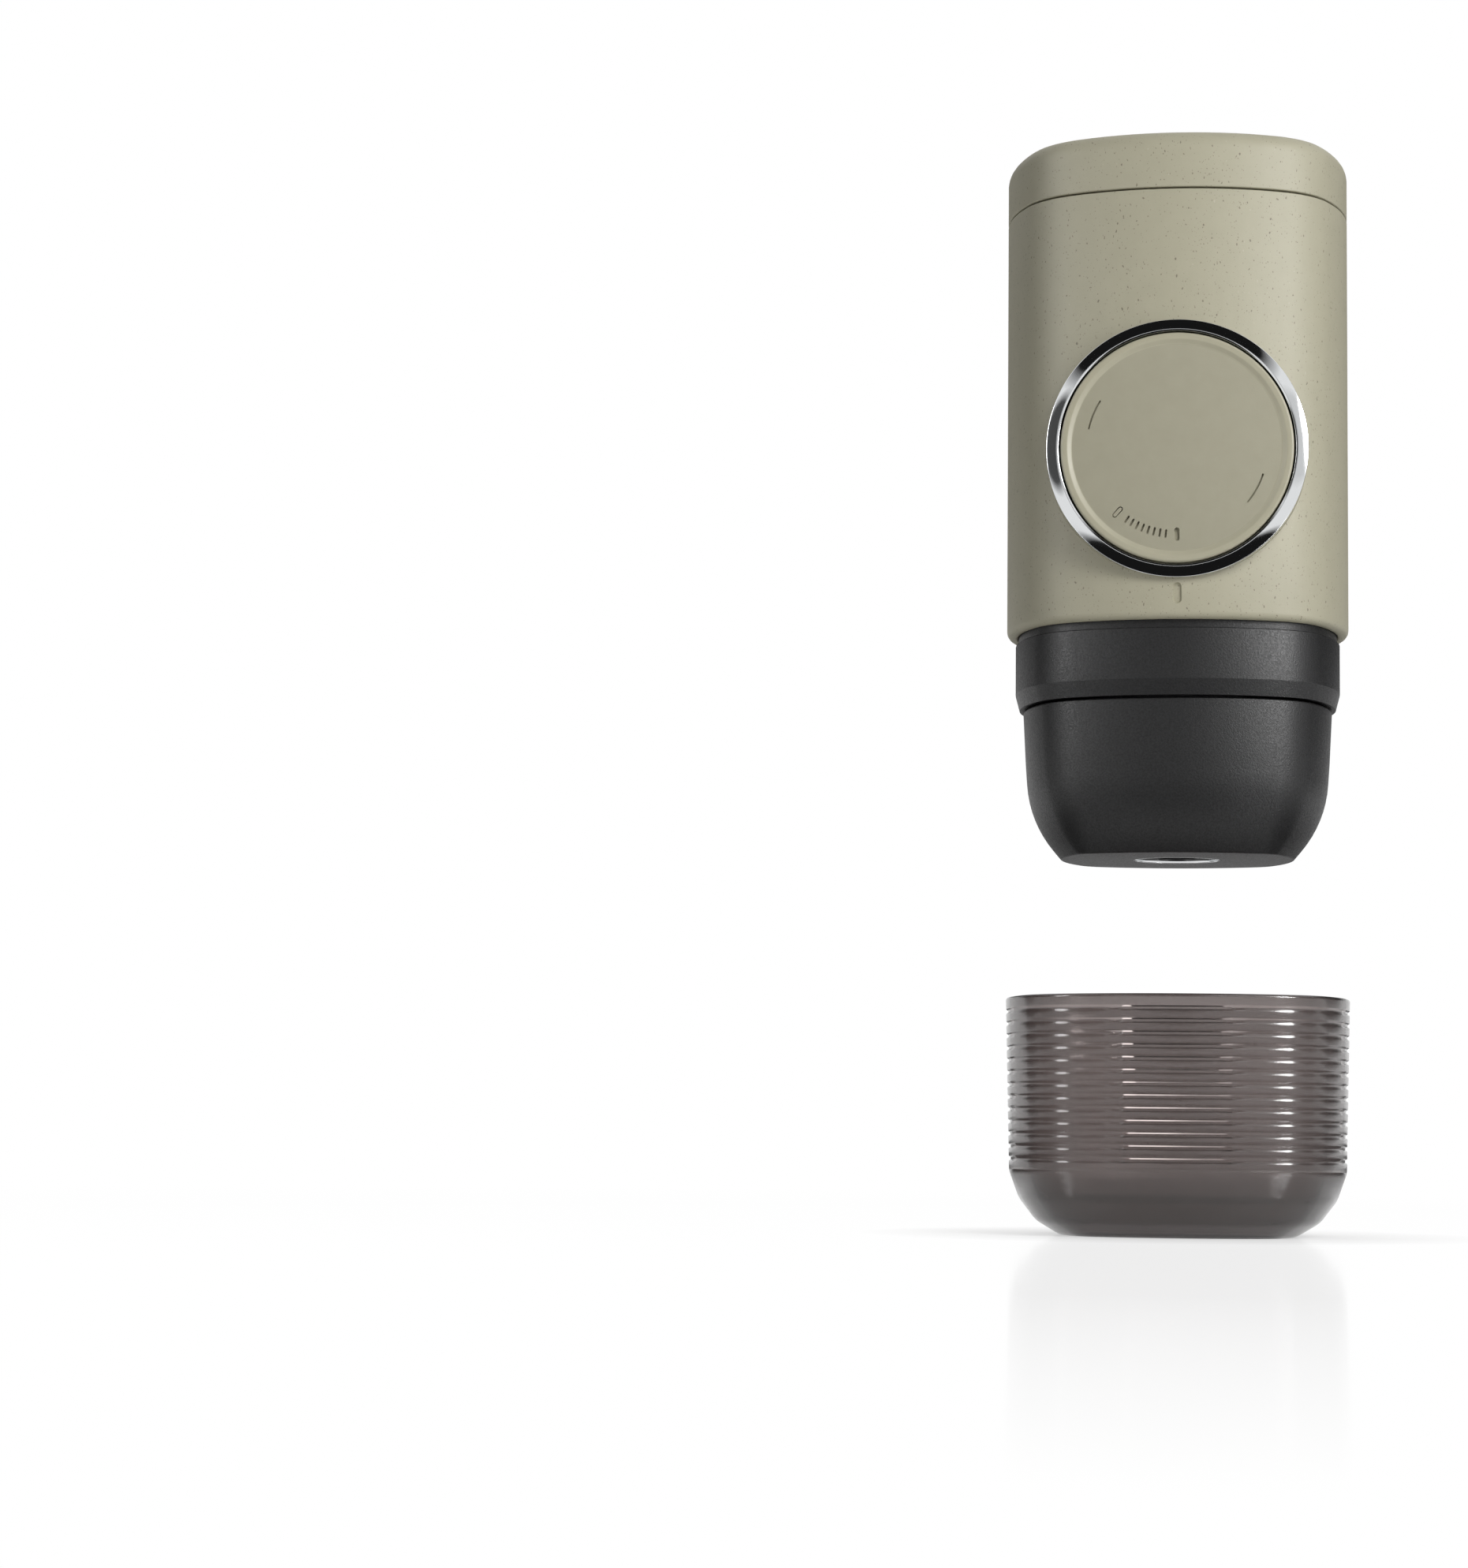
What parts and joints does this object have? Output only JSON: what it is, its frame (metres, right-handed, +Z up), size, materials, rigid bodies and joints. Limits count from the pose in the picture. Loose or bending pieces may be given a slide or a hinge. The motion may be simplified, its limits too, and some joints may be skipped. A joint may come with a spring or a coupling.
{
  "type": "handheld manual espresso maker",
  "caption": "Slim rounded-square hand-pumped espresso maker with a round push knob in a bright ring, a black outlet head, and its ribbed translucent cup below.",
  "frame": {"origin": "centre of the cup's foot, on the table", "axes": "+Z up along the cup's and the machine's common axis, -Y towards the pump knob's face, +X to the right seen from the knob"},
  "size_m": [0.059, 0.0609, 0.1869],
  "materials": {
    "sage_plastic": "matte moulded plastic with fine dark plant-fibre specks",
    "black_plastic": "fine-textured satin black moulding",
    "chrome_trim": "polished chrome plating",
    "tank_plastic": "smooth dark grey food-grade plastic",
    "steel": "plain stainless steel",
    "silicone": "soft dark silicone rubber",
    "dark_plastic": "smooth black plastic",
    "smoky_cup": "smoky translucent moulded plastic, glossy"
  },
  "bodies": {
    "machine": {"outer_shell": "sage_plastic", "water_tank": "tank_plastic", "suction_filter": "black_plastic", "knob_well": "black_plastic", "bezel_ring": "chrome_trim", "pump_cylinder": "tank_plastic", "rod_seal": "silicone", "valve_block": "black_plastic", "inlet_valve": "silicone", "outlet_valve": "silicone", "suction_tube": "silicone", "feed_tube": "silicone", "lower_collar": "black_plastic", "needle_plate": "steel", "water_needles": "steel", "brew_seal": "silicone", "group_screws": "steel"},
    "lid": {"tank_lid": "sage_plastic", "lid_gasket": "silicone", "vent_valve": "silicone"},
    "plunger": {"piston_rod": "steel", "piston": "dark_plastic", "piston_seal": "silicone", "retaining_clip": "steel", "return_spring": "steel"},
    "knob": {"pump_knob": "sage_plastic"},
    "head_slide": {"head_gasket": "silicone"},
    "head": {"outlet_head": "black_plastic", "extraction_plate": "steel", "outlet_nozzle": "dark_plastic", "nozzle_rim": "chrome_trim"},
    "holder": {"capsule_holder": "tank_plastic"},
    "cup": {"drinking_cup": "smoky_cup"}
  },
  "joints": [
    {"name": "cup_slide", "type": "slide", "parent": "machine", "child": "cup", "axis": [0, 0, 1], "range_m": [0, 0.0622]},
    {"name": "piston_stroke", "type": "slide", "parent": "machine", "child": "plunger", "axis": [0, -1, 0], "range_m": [0, 0.012], "deforming": ["return_spring"]},
    {"name": "knob_turn", "type": "hinge", "parent": "plunger", "child": "knob", "pos_m": [0, -0.0314, 0.1315], "axis": [0, -1, 0], "range_deg": [0, 42]},
    {"name": "lid_lift", "type": "slide", "parent": "machine", "child": "lid", "axis": [0, 0, 1], "range_m": [0, 0.02]},
    {"name": "head_drop", "type": "slide", "parent": "machine", "child": "head_slide", "axis": [0, 0, 1], "range_m": [-0.036, 0]},
    {"name": "head_turn", "type": "hinge", "parent": "head_slide", "child": "head", "pos_m": [0, 0, 0.0645], "axis": [0, 0, 1], "range_deg": [-90, 0]},
    {"name": "holder_lift", "type": "slide", "parent": "head", "child": "holder", "axis": [0, 0, 1], "range_m": [0, 0.018]}
  ],
  "couplings": [
    {"joint": "holder_lift", "follows": "head_drop", "ratio": -0.5}
  ]
}
